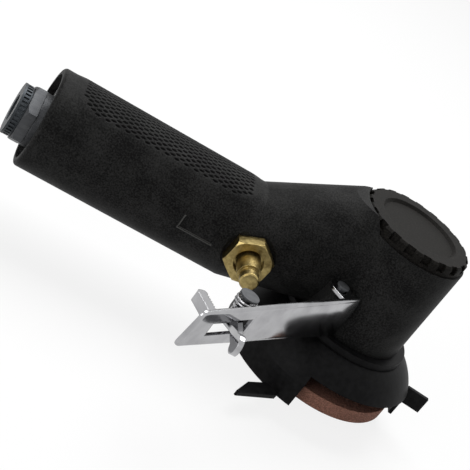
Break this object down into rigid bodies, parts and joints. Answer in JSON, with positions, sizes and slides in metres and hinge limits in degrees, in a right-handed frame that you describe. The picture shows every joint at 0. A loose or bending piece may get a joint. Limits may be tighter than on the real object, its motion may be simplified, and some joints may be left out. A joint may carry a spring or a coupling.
{
  "type": "air grinder",
  "caption": "Pneumatic grinder with a vertical motor head under a notched cap, a side grip, a lever throttle with a lock, and a small guarded wheel.",
  "frame": {"origin": "on the spindle axis at the seat of the grinding wheel, where the wheel meets its inner flange", "axes": "+Z along the spindle towards the head cap, -X towards the air inlet, -Y the side of the lever"},
  "size_m": [0.2223, 0.1397, 0.0901],
  "materials": {
    "composite": "black glass-filled composite with a fine moulded grain",
    "cap_composite": "charcoal composite with a fine grain",
    "dark_steel": "gunmetal grey steel, satin",
    "collar_steel": "dark ribbed steel",
    "bright_steel": "bright machined steel",
    "chrome": "polished chrome plate",
    "brass": "turned brass, a little tarnished",
    "cast_aluminium": "satin aluminium",
    "black_paint": "satin black painted steel",
    "abrasive": "reddish brown resin-bonded abrasive",
    "vane_resin": "brown fibre resin",
    "felt": "grey felt",
    "rubber": "black rubber"
  },
  "bodies": {
    "housing": {"main_housing": "composite", "head_cap": "cap_composite", "rear_end_plate": "cast_aluminium", "rear_bearing": "bright_steel", "motor_cylinder": "cast_aluminium", "front_end_plate": "cast_aluminium", "front_bearing": "bright_steel", "spindle_nose": "cast_aluminium", "spindle_seal": "rubber", "inlet_bushing": "dark_steel", "inlet_collar": "collar_steel", "inlet_washer": "dark_steel", "inlet_screen": "bright_steel", "exhaust_deflector": "cast_aluminium", "exhaust_silencer": "felt", "valve_body": "brass", "lever_pin": "dark_steel"},
    "spindle_group": {"spindle": "bright_steel", "rotor": "bright_steel", "vanes": "vane_resin", "wheel_flange": "bright_steel", "grinding_wheel": "abrasive", "outer_flange": "bright_steel", "wheel_nut": "bright_steel"},
    "guard_group": {"guard": "black_paint", "guard_clamp_band": "black_paint", "guard_clamp_screw": "bright_steel"},
    "lever_group": {"throttle_lever": "chrome", "lock_pin": "dark_steel", "lock_spring": "chrome"},
    "lock_group": {"lock_lever": "chrome"},
    "plunger_group": {"valve_plunger": "brass", "valve_spring": "bright_steel"}
  },
  "joints": [
    {"name": "spindle_spin", "type": "hinge", "parent": "housing", "child": "spindle_group", "pos_m": [0, 0, 0], "axis": [0, 0, 1], "continuous": true},
    {"name": "guard_swivel", "type": "hinge", "parent": "housing", "child": "guard_group", "pos_m": [0, 0, 0.017], "axis": [0, 0, 1], "range_deg": [-90, 90]},
    {"name": "lever_squeeze", "type": "hinge", "parent": "housing", "child": "lever_group", "pos_m": [-0.0218, -0.0265, 0.0325], "axis": [0, 0, -1], "range_deg": [0, 34.8], "stiffness_Nm_per_rad": 0.2, "springref_deg": -11.46},
    {"name": "lock_swing", "type": "hinge", "parent": "lever_group", "child": "lock_group", "pos_m": [-0.0668, -0.06916, 0.0325], "axis": [0, 0, 1], "range_deg": [0, 34.8], "stiffness_Nm_per_rad": 0.004, "springref_deg": -11.46},
    {"name": "plunger_push", "type": "slide", "parent": "housing", "child": "plunger_group", "axis": [0, 1, 0], "range_m": [0, 0.004], "stiffness_N_per_m": 50, "springref_m": -0.002}
  ],
  "couplings": [
    {"joint": "lock_swing", "follows": "lever_squeeze", "ratio": 1},
    {"joint": "plunger_push", "follows": "lever_squeeze", "m_per_rad": 0.006586}
  ]
}
